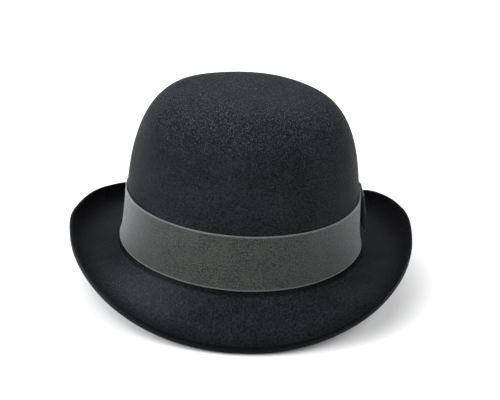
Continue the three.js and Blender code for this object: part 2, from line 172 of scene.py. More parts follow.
def mesh_object(name, points, faces, corner_uv=None, sharp=60):
    """An object of these points in mm. corner_uv is one pair in metres for each face corner."""
    mesh = bpy.data.meshes.new(name)
    mesh.from_pydata(settle(points) * MM, [], faces)
    if corner_uv is not None:
        layer = mesh.uv_layers.new(name="weave")
        layer.uv.foreach_set("vector", np.asarray(corner_uv, np.float32).ravel())
    tidy = bmesh.new()
    tidy.from_mesh(mesh)
    bmesh.ops.remove_doubles(tidy, verts=tidy.verts, dist=1e-6)
    bmesh.ops.recalc_face_normals(tidy, faces=tidy.faces)
    tidy.to_mesh(mesh)
    tidy.free()
    mesh.shade_smooth()
    mesh.set_sharp_from_angle(angle=radians(sharp))
    piece = bpy.data.objects.new(name, mesh)
    bpy.context.scene.collection.objects.link(piece)
    return piece


def grid_faces(rows, columns, wrap_rows, wrap_columns):
    """Corner places of the faces of a grid: rows and columns that may pass the last by one."""
    i, j = np.meshgrid(
        np.arange(rows if wrap_rows else rows - 1),
        np.arange(columns if wrap_columns else columns - 1),
        indexing="ij",
    )
    steps = ((0, 0), (0, 1), (1, 1), (1, 0))
    return np.stack([np.stack([i + a, j + b], -1) for a, b in steps], 2).reshape(-1, 4, 2)


def grid_object(name, points, uv=None, wrap_rows=False, wrap_columns=False, sharp=60):
    """An object from points[row, column]. uv has one more row or column where the grid wraps."""
    rows, columns = points.shape[:2]
    corners = grid_faces(rows, columns, wrap_rows, wrap_columns)
    faces = (corners[..., 0] % rows) * columns + corners[..., 1] % columns
    corner_uv = None if uv is None else uv[corners[..., 0], corners[..., 1]]
    return mesh_object(name, points.reshape(-1, 3), faces.tolist(), corner_uv, sharp)


def lengths(points):
    """Distance along a line of points, from its first."""
    steps = np.linalg.norm(np.diff(points, axis=0), axis=1)
    return np.concatenate([[0], np.cumsum(steps)])


def sheet_object(name, surface, along, across, thickness, relief=None, ring=False):
    """A sheet of cloth or leather of even thickness. surface(u, v) is its middle.
    relief(length, width) raises its front face, for ribs, folds and woven edges; both are in mm.
    A ring joins its last row to its first."""
    u, v = np.meshgrid(along, across, indexing="ij")
    step = 1e-4
    middle = surface(u, v)
    du = surface(u + step, v) - surface(u - step, v)
    dv = surface(u, v + step) - surface(u, v - step)
    normal = np.cross(du, dv)
    normal /= np.linalg.norm(normal, axis=-1, keepdims=True)
    outward = dv / np.linalg.norm(dv, axis=-1, keepdims=True)
    half_way = len(across) // 2
    run = lengths(middle[:, half_way])
    width = lengths(middle[0])
    rise = 0 if relief is None else relief(run[:, None], width[None, :])[..., None]
    front = middle + normal * (thickness / 2 + rise)
    back = middle - normal * thickness / 2
    far_edge = middle[:, -1:] + outward[:, -1:] * thickness / 2
    near_edge = middle[:, :1] - outward[:, :1] * thickness / 2
    points = np.concatenate([front, far_edge, back[:, ::-1], near_edge], axis=1)
    widths = np.concatenate([width, width[-1:], width[::-1], width[:1], width[:1]])
    runs = run
    if ring:
        closing = np.linalg.norm(middle[0, half_way] - middle[-1, half_way])
        runs = np.append(run, run[-1] + closing)
    uv = np.stack(np.meshgrid(runs, widths, indexing="ij"), -1) * MM
    piece = grid_object(name, points, uv, wrap_rows=ring, wrap_columns=True)
    if not ring:
        close_ends(piece)
    return piece


def close_ends(piece):
    """Fills the two open ends of a sheet or tube with faces."""
    filled = bmesh.new()
    filled.from_mesh(piece.data)
    bmesh.ops.holes_fill(filled, edges=[e for e in filled.edges if e.is_boundary], sides=0)
    bmesh.ops.recalc_face_normals(filled, faces=filled.faces)
    filled.to_mesh(piece.data)
    filled.free()


def tube_points(path, radius, sides, ring=False, twist=None):
    """Points round a path. twist(length, angle) is a share of the radius, for strands."""
    if ring:
        ahead = np.roll(path, -1, axis=0) - np.roll(path, 1, axis=0)
    else:
        ahead = np.gradient(path, axis=0)
    ahead /= np.linalg.norm(ahead, axis=1, keepdims=True)
    side = np.cross(ahead, (0.0, 0.0, 1.0))
    flat = np.cross(ahead, (1.0, 0.0, 0.0))
    upright = np.linalg.norm(side, axis=1, keepdims=True) < 0.3
    side = np.where(upright, flat, side)
    side /= np.linalg.norm(side, axis=1, keepdims=True)
    up = np.cross(side, ahead)
    turn = np.arange(sides) * TURN / sides
    reach = np.broadcast_to(np.asarray(radius, float), len(path))[:, None] * np.ones(sides)
    if twist is not None:
        reach = reach * (1 + twist(lengths(path)[:, None], turn[None, :]))
    circle = side[:, None] * np.cos(turn)[None, :, None] + up[:, None] * np.sin(turn)[None, :, None]
    return path[:, None] + circle * reach[..., None]


def tubes_object(name, paths, radius, sides=8, ring=False, twist=None):
    """One object of several tubes of the same length. The ends of open tubes taper shut."""
    points, faces = [], []
    for path in paths:
        reach = radius
        if not ring:
            taper = np.sin(np.linspace(0, pi, len(path)))
            reach = radius * np.clip(taper * 3, 0, 1) ** 0.5
        tube = tube_points(np.asarray(path, float), reach, sides, ring, twist)
        corners = grid_faces(len(path), sides, ring, True)
        index = (corners[..., 0] % len(path)) * sides + corners[..., 1] % sides
        faces += (index + len(points) * len(path) * sides).tolist()
        points.append(tube.reshape(-1, 3))
    return mesh_object(name, np.concatenate(points), faces)


# ---- The crown's and the brim's surfaces ----


def crown(t, h, inset=0.0):
    """Points at angle t and height h above the crown's foot, inset from the felt's outside."""
    t, h, inset = np.broadcast_arrays(*(np.asarray(x, float) for x in (t, h, inset)))
    rise = np.clip(h / (CROWN_HEIGHT - inset), 0, 1)
    round_shoulder = (1 - rise**CROWN_RISE_POWER) ** (1 / CROWN_WIDTH_POWER)
    width = (1 - CROWN_TAPER * rise) * round_shoulder
    flare = FOOT_FLARE * np.exp(-h / FOOT_FLARE_HEIGHT)
    dip = FOOT_DIP * np.sin(t) ** 2 * np.clip(1 - h / FOOT_DIP_HEIGHT, 0, 1)
    x = ((CROWN_HALF_WIDTH - inset) * width + flare) * np.cos(t)
    y = ((CROWN_HALF_LENGTH - inset) * width + flare) * np.sin(t)
    return np.stack([x, y, FOOT_HEIGHT + h - dip], -1)


def crown_top(x, y, inset):
    """Points above (x, y) on the crown's top, inset from the felt's outside."""
    reach = np.hypot(x / (CROWN_HALF_WIDTH - inset), y / (CROWN_HALF_LENGTH - inset))
    fall = np.clip(1 - (reach / (1 - CROWN_TAPER)) ** CROWN_WIDTH_POWER, 0, 1)
    rise = fall ** (1 / CROWN_RISE_POWER)
    return np.stack([x, y, FOOT_HEIGHT + (CROWN_HEIGHT - inset) * rise], -1)


def nearness_to_front(t):
    """0 at the sides and 1 at the front and the back."""
    front, back = (
        (1 - np.abs(np.cos(t)) ** inner) ** outer for inner, outer in BRIM_BLEND_POWERS.values()
    )
    return np.where(np.sin(t) < 0, front, back)


def brim_slope(to_front, s):
    """Slope of the brim, in radians, at s along its section."""
    width, slope, curl, edge = (
        mix(BRIM_AT_SIDE[key], BRIM_AT_FRONT[key], to_front)
        for key in ("width", "slope", "curl", "edge")
    )
    curled = np.clip((s - width + curl) / curl, 0, 1)
    free = np.radians(mix(slope, edge, curled))
    foot = -np.arctan2(FOOT_FLARE_HEIGHT, FOOT_FLARE)
    return mix(free, foot, np.clip(1 - s / BREAK_FILLET, 0, 1) ** 2)


def brim_section(t):
    """Distance out, height and slope at the brim's stations, from the crown's foot to the edge."""
    fine_steps = 224
    stations = [*range(0, 24, 2), *range(24, fine_steps + 1, 4)]
    to_front = nearness_to_front(t)[:, None]
    width = mix(BRIM_AT_SIDE["width"], BRIM_AT_FRONT["width"], to_front)
    ds = width / fine_steps
    slope = brim_slope(to_front, (np.arange(fine_steps) + 0.5) * ds)
    start = np.zeros((len(t), 1))
    out = np.concatenate([start, np.cumsum(np.cos(slope) * ds, axis=1)], axis=1)
    up = np.concatenate([start, np.cumsum(np.sin(slope) * ds, axis=1)], axis=1)
    at_stations = brim_slope(to_front, np.array(stations) * ds)
    return out[:, stations], up[:, stations], at_stations


def foot_height():
    """Height of the crown's foot, with the brim pressed flat a little where it stands."""
    out, up, slope = brim_section(np.array([-pi / 2]))
    return FOOT_DIP - (up - FELT * np.cos(slope)).min() - FLOOR_WEAR


FOOT_HEIGHT = foot_height()

# ---- Felt ----


def crown_rises():
    """Heights from the top of the crown to its foot, as shares, close together at the shoulder."""
    shoulder_turn = np.linspace(0, 1.38, 56)
    shoulder = np.cos(shoulder_turn) ** (2 / CROWN_RISE_POWER)
    wall = shoulder[-1] * np.linspace(1, 0, 40)[1:] ** 1.4
    return np.concatenate([shoulder, wall])


def felt_points():
    """The hood's closed section, from the crown's top out over the brim and back inside, all round."""
    t = np.arange(SIDES) * TURN / SIDES
    rises = crown_rises()
    outward = np.stack([np.cos(t) / CROWN_HALF_WIDTH, np.sin(t) / CROWN_HALF_LENGTH, 0 * t], -1)
    outward /= np.linalg.norm(outward, axis=-1, keepdims=True)
    foot = crown(t, 0)
    out, up, slope = brim_section(t)

    def place(out, up):
        lifted = np.stack([0 * up, 0 * up, up], -1)
        return foot[:, None] + outward[:, None] * out[..., None] + lifted

    radius = FELT / 2
    turn = slope[:, -1:] - pi / 2 + pi * np.linspace(1, 0, 9)[1:-1]
    edge = place(
        out[:, -1:] + radius * np.sin(slope[:, -1:]) + radius * np.cos(turn),
        up[:, -1:] - radius * np.cos(slope[:, -1:]) + radius * np.sin(turn),
    )
    under = place(out + FELT * np.sin(slope), up - FELT * np.cos(slope))[:, ::-1]
    under[..., 2] = np.maximum(under[..., 2], 0)
    outside = crown(t[:, None], rises * CROWN_HEIGHT)
    inside = crown(t[:, None], rises * (CROWN_HEIGHT - FELT), FELT)[:, ::-1]
    return np.concatenate([outside, place(out, up)[:, 1:], edge, under, inside], axis=1)


def hand_shaped(points):
    """Behind the middle, the hat's own brim edge stands lower on the wearer's right than on the
    left. Its crown's shoulders are a little full, the right one more so."""
    across = points[..., 0]
    x, y = across / BRIM_HALF_WIDTH, points[..., 1] / BRIM_HALF_LENGTH
    outer = smooth(np.hypot(x, y), 0.78, 1.0)
    behind = smooth(y, -0.15, 0.2) * (1 - smooth(y, 0.55, 0.85))
    edge_rise = mix(-BRIM_SUNK, BRIM_RAISED * np.sign(x), np.abs(x))
    shoulders = RIGHT_SHOULDER * bell(across, -57, 26) + LEFT_SHOULDER * bell(across, 68, 17)
    raised = np.array(points)
    raised[..., 2] += outer * behind * edge_rise
    raised[..., 2] += shoulders * smooth(points[..., 2], 85, 125)
    return raised


def felt_hood(look):
    piece = grid_object("felt_hood", hand_shaped(felt_points()), wrap_rows=True)
    return show(piece, look, "felt_body", slot="felt")


# ---- Ribbon band and bow ----

BAND_INSET = -(GAP + RIBBON / 2)
BAND_FACE = -(GAP + RIBBON)


def across_ribbon(width, margin=3.4, count=13):
    """Shares across a ribbon, close together at its woven edges and even between its margins."""
    edge = np.array([0, 0.35, 0.8, 1.2, 1.8]) / width
    between_margins = np.linspace(margin / width, 1 - margin / width, count)
    return np.concatenate([edge, between_margins, 1 - edge[::-1]])


def grosgrain_relief(width):
    """Ribs across a ribbon of this width, with a raised, ribless woven edge on both sides."""

    def relief(run, place):
        from_edge = np.minimum(place, width - place)
        selvedge = 0.1 * bell(from_edge, SELVEDGE * 0.4, 0.45) - 0.06 * bell(from_edge, 1.3, 0.3)
        ribs = RIB_HEIGHT * np.cos(TURN * run / RIB_PITCH) * smooth(from_edge, 0.8, 1.4)
        return selvedge + ribs

    return relief


def rib_steps(length, fine=4):
    """Shares along a ribbon of this length, with this many steps to each rib."""
    count = int(round(length / RIB_PITCH)) * fine
    return np.arange(count) / count


def grosgrain_band(look):
    perimeter = 603
    lift_off = 0.35  # how far the upper edge stands off the felt

    def surface(u, v):
        loose = lift_off * v**3 * (1 + 0.6 * np.sin(TURN * u * 5 + 1))
        height = BAND_FOOT + v * RIBBON_WIDTH + 0.25 * np.sin(TURN * u * 2 + 0.6)
        return crown(TURN * u, height, BAND_INSET - loose)

    piece = sheet_object(
        "grosgrain_band",
        surface,
        rib_steps(perimeter),
        across_ribbon(RIBBON_WIDTH),
        RIBBON,
        grosgrain_relief(RIBBON_WIDTH),
        ring=True,
    )
    show(piece, look, "band_ribbon", slot="ribbon")
    return piece


def over_band(y, share, lift):
    """Points of the bow: y along from its middle, share up its ribbon, lift off the band."""
    t = radians(BOW_TURN) + np.arcsin(y / CROWN_HALF_LENGTH)
    return crown(t, BAND_FOOT + RIBBON_WIDTH - BOW_WIDTH * (1 - share), BAND_FACE - lift)


def loop_lift(y, share):
    """How far a loop's inner ply is off the band, at y along it and share up its ribbon."""
    sewn = GAP + RIBBON + GAP
    to_end = (np.abs(y) / BOW_HALF_LENGTH) ** 2
    lean = 1 - LOOP_LEAN * np.clip(share, 0, 1) ** 1.5
    return sewn + (LOOP_END_LIFT - sewn) * to_end * lean


KNOT_FACE = loop_lift(0, 0) + LOOP_PLY + LOOP_PITCH + GAP + RIBBON


def bow_pad(look):
    def surface(u, v):
        y = mix(-BOW_BASE_HALF_LENGTH, BOW_BASE_HALF_LENGTH, u)
        return over_band(y, v, GAP + RIBBON / 2)

    length = 2 * BOW_BASE_HALF_LENGTH
    steps = np.append(rib_steps(length), 1)
    piece = sheet_object(
        "bow_pad", surface, steps, across_ribbon(BOW_WIDTH), RIBBON, grosgrain_relief(BOW_WIDTH)
    )
    show(piece, look, "bow_base", slot="ribbon")
    return piece


def bow_loop(name, node, direction, look):
    """One loop: out along the inner ply, round the nose and back along the outer ply."""
    nose = 0.08
    inner = (1 - nose) / 2
    nose_start = BOW_HALF_LENGTH - NOSE_PITCH / 2
    ply_length = nose_start - LOOP_START

    def surface(u, v):
        out = np.clip(u / inner, 0, 1)
        back = np.clip((1 - u) / inner, 0, 1)
        turn = np.clip((u - inner) / nose, 0, 1) * pi
        y = mix(LOOP_START, nose_start, np.minimum(out, back)) + NOSE_PITCH / 2 * np.sin(turn)
        pitch = mix(LOOP_PITCH, NOSE_PITCH, smooth(y, 10, 24))
        rise = pitch / 2 * (1 - np.cos(turn))
        spring = LOOP_SPRING * smooth(y, 12, BOW_HALF_LENGTH) * bell(v, 0.5, 0.35)
        return over_band(direction * y, v, loop_lift(y, v) + LOOP_PLY / 2 + rise + spring)

    ply = np.linspace(0, 1, int(ply_length / RIB_PITCH * 4)) * inner
    round_nose = inner + nose * np.linspace(0, 1, 13)[1:-1]
    steps = np.concatenate([ply, round_nose, 1 - ply[::-1]])
    piece = sheet_object(
        name, surface, steps, across_ribbon(BOW_WIDTH), LOOP_PLY, grosgrain_relief(BOW_WIDTH)
    )
    show(piece, look, node, slot="ribbon")
    return piece


def bow_knot(look):
    """The narrow ribbon across the loops, which turns in over their upper and lower edges."""
    turned_in = 1.6
    bend = 0.7  # radius of its two folds
    beyond = GAP + RIBBON / 2
    middle_lift = KNOT_FACE - RIBBON / 2
    straight = BOW_WIDTH + 2 * (beyond - bend)
    short = turned_in - RIBBON / 2 - bend
    parts = [short, bend * pi / 2, straight, bend * pi / 2, short]
    ends = np.cumsum(parts)
    total = ends[-1]

    def surface(u, v):
        run = u * total
        first = np.clip((run - ends[0]) / parts[1], 0, 1) * pi / 2
        second = np.clip((run - ends[2]) / parts[3], 0, 1) * pi / 2
        up = -beyond + bend * (1 - np.cos(first))
        up = up + np.clip(run - ends[1], 0, straight) + bend * np.sin(second)
        lift = middle_lift - bend * (1 - np.sin(first)) - bend * (1 - np.cos(second))
        lift = lift - np.clip(ends[0] - run, 0, None) - np.clip(run - ends[3], 0, None)
        pinch = 1 - 0.12 * bell(up, BOW_WIDTH / 2, 10)
        y = mix(-KNOT_HALF_WIDTH, KNOT_HALF_WIDTH, v) * pinch
        creases = 0.18 * np.cos(TURN * v * 3 + 0.4) * bell(up, BOW_WIDTH / 2, 9)
        return over_band(y, up / BOW_WIDTH, lift + creases)

    width = 2 * KNOT_HALF_WIDTH
    across = across_ribbon(width, margin=2.52, count=17)
    steps = np.append(rib_steps(total, fine=6), 1)
    piece = sheet_object("bow_wrap", surface, steps, across, RIBBON, grosgrain_relief(width))
    show(piece, look, "bow_knot", slot="ribbon")
    return piece


# ---- Stitches ----


def tack(name, node, point_at, look):
    """Three short strands side by side. point_at(along, across, lift) is on the sewn surface."""
    half_length = 1.2
    spacing = 0.42
    proud = 0.28  # how far a strand's middle stands off; its ends dive in
    dive = 0.75
    strands = []
    for across in (-spacing, 0.0, spacing):
        along = np.linspace(-half_length, half_length, 9)
        lift = proud - dive * (along / half_length) ** 4
        strands.append(point_at(along + 0.25 * across, across + 0 * along, lift))
    piece = tubes_object(name, strands, THREAD / 2 * 0.8, sides=7)
    return show(piece, look, node, slot="thread")


def band_tack(name, node, t, look):
    from_edge = 1.5
    height = BAND_FOOT + RIBBON_WIDTH - from_edge

    def point_at(along, across, lift):
        return crown(t + across / CROWN_HALF_LENGTH, height + along, BAND_FACE - GAP - lift)

    return tack(name, node, point_at, look)


def bow_tack(name, node, share, look):
    def point_at(along, across, lift):
        return over_band(across, share + along / BOW_WIDTH, KNOT_FACE + lift)

    return tack(name, node, point_at, look)


# ---- Sweatband ----

LINING_INSET = FELT + GAP + SATIN / 2
LEATHER_INSET = LINING_INSET + SATIN / 2 + GAP + LEATHER / 2
LEATHER_FACE = LEATHER_INSET + LEATHER / 2


def leather_steps():
    """Shares round the hat, close together at the butt joint in the back."""
    even = np.arange(SIDES) / SIDES
    joint = 0.25 + np.linspace(-0.003, 0.003, 13)
    return np.unique(np.round(np.concatenate([even, joint]), 6))


def sweatband(look):
    height = LEATHER_TOP - LEATHER_FOOT

    def surface(u, v):
        wave = 0.3 * np.sin(TURN * u * 3 + 0.7) + 0.2 * np.sin(TURN * u * 7)
        rolled = 0.5 * v**6  # the top edge leans in a little
        joint = 0.35 * bell(u, 0.25, 0.0006)
        top = v * (height + 0.6 * wave)
        inset = LEATHER_INSET + rolled + 0.25 * wave * v**2 - joint
        return crown(TURN * u, LEATHER_FOOT + top, inset)

    def relief(run, width):
        tooled = 0.12 * bell(width, height - 3.2, 0.4) + 0.1 * bell(width, height - 4.6, 0.3)
        sewn = 0.18 * bell(width, STITCHING_HEIGHT - LEATHER_FOOT, 0.7)
        return tooled + sewn

    across = np.concatenate(
        [np.linspace(0, 0.12, 9), np.linspace(0.14, 0.86, 22), np.linspace(0.875, 1, 19)]
    )
    piece = sheet_object(
        "sweatband_leather", surface, leather_steps(), across, LEATHER, relief, ring=True
    )
    return show(piece, look, "sweatband", slot="leather")


def ring_path(height, inset, count=SIDES):
    """A closed path round the crown."""
    return crown(np.arange(count) * TURN / count, height, inset)


def sweatband_reed(look):
    def twist(run, turn):
        return 0.05 * np.cos(2 * turn + TURN * run / 3.2)

    path = ring_path(LEATHER_FOOT - GAP - REED_RADIUS, LEATHER_INSET, 720)
    piece = tubes_object("sweatband_reed_cord", [path], REED_RADIUS, 10, ring=True, twist=twist)
    return show(piece, look, "sweatband_reed", slot="leather")


def reed_stitches(look):
    perimeter = 575
    count = int(perimeter / STITCH_SPACING)
    paths = []
    for k in range(count):
        along = np.linspace(-0.5, 0.5, 9)
        t = (k + along * STITCH_LENGTH / STITCH_SPACING) * TURN / count
        lift = 0.22 - 0.7 * (2 * np.abs(along)) ** 6
        slant = 0.12 * along * (-1) ** k
        paths.append(crown(t, STITCHING_HEIGHT + slant, LEATHER_FACE + lift))
    piece = tubes_object("sweatband_stitches", paths, THREAD / 2, sides=7)
    return show(piece, look, "reed_stitching", slot="thread")


def inside_back(x, h, lift):
    """Points inside the leather at the back: x across, h up, lift off the leather's face."""
    return crown(pi / 2 - x / CROWN_HALF_WIDTH, h, LEATHER_FACE + lift)


def back_seam(look):
    """The zigzag thread over the joint, dipping into the leather at each turn."""
    margin = 5
    run = np.linspace(0, SEAM_ZIGZAGS, SEAM_ZIGZAGS * 20 + 1)
    sharpness = 0.97  # 1 would make each turn a point
    sway = np.arcsin(sharpness * np.sin(TURN * run)) / np.arcsin(sharpness)
    height = mix(LEATHER_FOOT + margin, LEATHER_TOP - margin, run / SEAM_ZIGZAGS)
    lift = 0.25 - 0.45 * np.abs(sway) ** 8
    path = inside_back(SEAM_HALF_WIDTH * sway, height, lift)
    piece = tubes_object("sweatband_joint_thread", [path], THREAD / 2 * 0.9, sides=8)
    return show(piece, look, "sweatband_back_seam", slot="thread")


SMALL_BOW_HEIGHT = 12
SMALL_BOW_LIFT = 2 * GAP + THREAD + RIBBON / 2


def small_bow(look):
    """A narrow ribbon folded into two flat loops that widen from the knot to their noses."""
    half_length = 12
    waist = 2
    end = 4.5

    def surface(u, v):
        x = half_length * np.sin(TURN * u)
        full = 0.9 * np.cos(TURN * u) * smooth(np.abs(np.sin(TURN * u)), 0.1, 0.7)
        spread_out = mix(waist, end, smooth(np.abs(x), 0, half_length))
        crease = 0.3 * np.cos(3 * pi * (v - 0.5)) * (1 - smooth(np.abs(x), 2, 8))
        height = SMALL_BOW_HEIGHT + (2 * v - 1) * spread_out
        return inside_back(x, height, SMALL_BOW_LIFT + 1.0 + full + crease)

    steps = np.arange(192) / 192
    piece = sheet_object("small_bow", surface, steps, np.linspace(0, 1, 17), 0.35, ring=True)
    return show(piece, look, "sweatband_bow", slot="ribbon")


def small_bow_knot(look):
    half_width = 1.8
    half_height = 3

    def surface(u, v):
        arch = np.cos((v - 0.5) * pi) ** 0.5
        x = mix(-half_width, half_width, u)
        y = SMALL_BOW_HEIGHT + mix(-half_height, half_height, v)
        crease = 0.15 * np.cos(TURN * u * 2)
        return inside_back(x, y, SMALL_BOW_LIFT + 0.2 + 1.9 * arch + crease)

    across = 0.5 - 0.5 * np.cos(np.linspace(0.12, pi - 0.12, 21))
    piece = sheet_object("small_bow_wrap", surface, np.linspace(0, 1, 13), across, 0.35)
    return show(piece, look, "sweatband_bow_knot", slot="ribbon")


# ---- Lining ----


def lining_inset(h):
    """The lining hangs slack: further from the felt towards its upper seam."""
    share = np.clip((h - LEATHER_TOP) / (LINING_SEAM_HEIGHT - LEATHER_TOP), 0, 1)
    return LINING_INSET + LINING_SLACK * share


TIP_INSET = lining_inset(LINING_SEAM_HEIGHT)


def gathers(u, strength):
    """Soft folds that run up the lining, uneven in width and depth."""
    drift = 0.35 * np.sin(TURN * u * 3) + 0.2 * np.sin(TURN * u * 8 + 2)
    fold = np.cos(TURN * u * LINING_FOLDS + 4 * drift)
    depth = 0.6 + 0.4 * np.sin(TURN * u * 5 + 1) * np.sin(TURN * u * 11)
    return strength * depth * fold


def lining_side(look):
    height = LINING_SEAM_HEIGHT - LINING_FOOT

    def surface(u, v):
        h = LINING_FOOT + v * height
        free = smooth(h, LEATHER_TOP + 1, LEATHER_TOP + 14)
        fold = gathers(u + 0.003 * np.sin(6 * v), 0.75) * free * mix(0.5, 1, v)
        return crown(TURN * u, h, lining_inset(h) + 0.3 * free + fold)

    steps = np.arange(4 * SIDES) / (4 * SIDES)
    piece = sheet_object("lining_wall", surface, steps, np.linspace(0, 1, 38), SATIN, ring=True)
    show(piece, look, "lining_side", slot="satin")
    return piece


def lining_tip(look):
    """The shallow oval cap over the seam, puckered where it is gathered into the piping."""
    seam_rise = (LINING_SEAM_HEIGHT + GAP) / (CROWN_HEIGHT - TIP_INSET)
    seam_turn = np.arccos(seam_rise ** (CROWN_RISE_POWER / 2))
    count = 2 * SIDES
    t = np.arange(count)[:, None] * TURN / count
    share = np.linspace(0, 1, 44)[None, :]
    rise = np.cos(share * seam_turn) ** (2 / CROWN_RISE_POWER)
    pucker = gathers(t / TURN, 0.45) * smooth(share, 0.72, 0.98)

    def face(side):
        inset = TIP_INSET + side * SATIN / 2 + pucker
        level = TIP_INSET + side * SATIN / 2
        return crown(t, rise * (CROWN_HEIGHT - level), inset)

    points = np.concatenate([face(-1), face(1)[:, ::-1]], axis=1)
    piece = grid_object("lining_crown", points, wrap_rows=True)
    show(piece, look, "lining_tip", slot="satin")
    return piece


def lining_piping(look):
    def twist(run, turn):
        return 0.07 * np.cos(turn + TURN * run / 2.6)

    inset = TIP_INSET + SATIN / 2 + 2 * GAP + PIPING_RADIUS
    path = ring_path(LINING_SEAM_HEIGHT, inset, 1080)
    piece = tubes_object("lining_piping_cord", [path], PIPING_RADIUS, 10, ring=True, twist=twist)
    return show(piece, look, "lining_piping", slot="satin")


def crest_patch(look):
    """An oval woven patch with a raised border and no mark on it."""
    inset = TIP_INSET + SATIN / 2 + 2 * GAP + SATIN / 2
    count = 160
    t = np.arange(count)[:, None] * TURN / count
    rim = np.array([0.84, 0.86, 0.9, 0.94, 0.975, 0.99, 1.0])
    share = np.concatenate([np.linspace(0, 0.82, 24), rim])[None, :]
    border = 0.22 * smooth(share, 0.85, 0.89) * (1 - smooth(share, 0.985, 1.0))
    x = PATCH_HALF_WIDTH * share * np.cos(t)
    y = PATCH_HALF_LENGTH * share * np.sin(t)
    lower = crown_top(x, y, inset + SATIN / 2 + border)
    upper = crown_top(x, y, inset - SATIN / 2)
    points = np.concatenate([lower, upper[:, ::-1]], axis=1)
    flat_uv = np.stack(np.broadcast_arrays(x, y), -1)
    uv = np.concatenate([flat_uv, flat_uv[:, ::-1]], axis=1) * MM
    uv = np.concatenate([uv, uv[:1]], axis=0)
    piece = grid_object("lining_patch", points, uv, wrap_rows=True)
    show(piece, look, "crest_patch", slot="patch")
    return piece


def size_ticket(look):
    """A slip of card on the lining above the leather, its top edge curled off the satin."""
    half_length = 9
    low = LEATHER_TOP + 2
    high = LEATHER_TOP + 12
    middle = 2.0  # angle round the hat

    def surface(u, v):
        corner = 1 - 0.06 * (np.abs(2 * v - 1) ** 8)
        t = middle - mix(-half_length, half_length, 0.5 + (u - 0.5) * corner) / CROWN_HALF_LENGTH
        h = mix(low, high, 0.5 + (v - 0.5) * (1 - 0.08 * np.abs(2 * u - 1) ** 8))
        return crown(t, h, lining_inset(h) + SATIN + 2 * GAP + 0.5 + 0.9 * v**3)

    along, across = np.linspace(0, 1, 37), np.linspace(0, 1, 21)
    piece = sheet_object("ticket_card", surface, along, across, SATIN)
    return show(piece, look, "size_ticket", slot="ticket")


# ---- Materials ----


def add(tree, kind, inputs=None, **settings):
    """A new node. An input given as a socket is linked, and any other value is set."""
    made = tree.nodes.new("ShaderNode" + kind)
    for name, value in settings.items():
        setattr(made, name, value)
    for key, value in (inputs or {}).items():
        target = made.inputs[key]
        if isinstance(value, bpy.types.NodeSocket):
            tree.links.new(value, target)
        elif target.type == "RGBA":
            target.default_value = (*value, 1)
        else:
            target.default_value = value
    return made


def object_place(tree):
    return add(tree, "TexCoord").outputs["Object"]


def weave_place(tree):
    return add(tree, "UVMap", uv_map="weave").outputs["UV"]


def scaled(tree, vector, factors):
    return add(tree, "Mapping", {"Vector": vector, "Scale": factors}).outputs["Vector"]


def grain(tree, vector, scale, detail=2.0, roughness=0.5):
    inputs = {"Vector": vector, "Scale": scale, "Detail": detail, "Roughness": roughness}
    return add(tree, "TexNoise", inputs).outputs["Fac"]


def reach(tree, place, half_axes, centre=(0, 0, 0)):
    """How far out a place is from a centre, as a share of half axes in mm. Two axes leave out Z."""
    inputs = {0: place, 1: tuple(x * MM for x in centre)}
    moved = add(tree, "VectorMath", inputs, operation="SUBTRACT")
    factors = [1 / (x * MM) for x in half_axes] + [0] * (3 - len(half_axes))
    shares = scaled(tree, moved.outputs["Vector"], factors)
    return add(tree, "VectorMath", {0: shares}, operation="LENGTH").outputs["Value"]


def cells(tree, vector, scale):
    """Distance to the edge of the nearest of many cells."""
    made = add(tree, "TexVoronoi", {"Vector": vector, "Scale": scale}, feature="DISTANCE_TO_EDGE")
    return made.outputs["Distance"]


def between(tree, value, low, high, to_low=0.0, to_high=1.0):
    """Takes low to to_low and high to to_high, and holds them beyond."""
    inputs = {"Value": value, "From Min": low, "From Max": high}
    inputs.update({"To Min": to_low, "To Max": to_high})
    return add(tree, "MapRange", inputs).outputs["Result"]


def calc(tree, operation, a, b):
    return add(tree, "Math", {0: a, 1: b}, operation=operation).outputs["Value"]


def total(tree, *parts):
    """The sum of several (value, weight) parts."""
    result = 0.0
    for value, weight in parts:
        result = calc(tree, "ADD", calc(tree, "MULTIPLY", value, weight), result)
    return result


def blend(tree, share, a, b):
    """A colour between two. The Mix node keeps its colour sockets at places 6, 7 and 2."""
    return add(tree, "Mix", {0: share, 6: a, 7: b}, data_type="RGBA").outputs[2]


def bumps(tree, *layers):
    """A normal from several (height, distance in mm) layers."""
    normal = None
    for height, distance in layers:
        inputs = {"Height": height, "Distance": distance * MM, "Strength": 1.0}
        if normal is not None:
            inputs["Normal"] = normal
        normal = add(tree, "Bump", inputs).outputs["Normal"]
    return normal


def new_material(name):
    made = bpy.data.materials.new(name)
    made.use_nodes = True
    made.node_tree.nodes.clear()
    return made, made.node_tree


def finish_material(tree, **inputs):
    """The shader and output. Names use underscores for spaces."""
    named = {key.replace("_", " "): value for key, value in inputs.items()}
    shader = add(tree, "BsdfPrincipled", named)
    add(tree, "OutputMaterial", {"Surface": shader.outputs["BSDF"]})


FELT_DARK = (0.0032, 0.0034, 0.0043)
FELT_LIGHT = (0.0135, 0.014, 0.017)
FELT_FLECK = (0.045, 0.047, 0.058)
# paler felt for the painted highlight on the front of the brim
FELT_PAINTED_LIGHT = (0.028, 0.0285, 0.035)
EDGE_SHADE_KEEPS = 0.2  # share of its colour that the felt keeps at the brim's edge, where shade is painted on
# In mm, half axes of an oval or ellipsoid:
EDGE_OVAL = (127.5, 157)  # the brim's edge
BAND_OVAL = (90.5, 106)  # the crown's foot, in the shade of the band
PAINTED_LIGHT_SPACE = (52, 58, 60)
PAINTED_LIGHT_AT = (-70, -92, 24)  # its middle: the front of the brim on the wearer's right, where a painted highlight lies
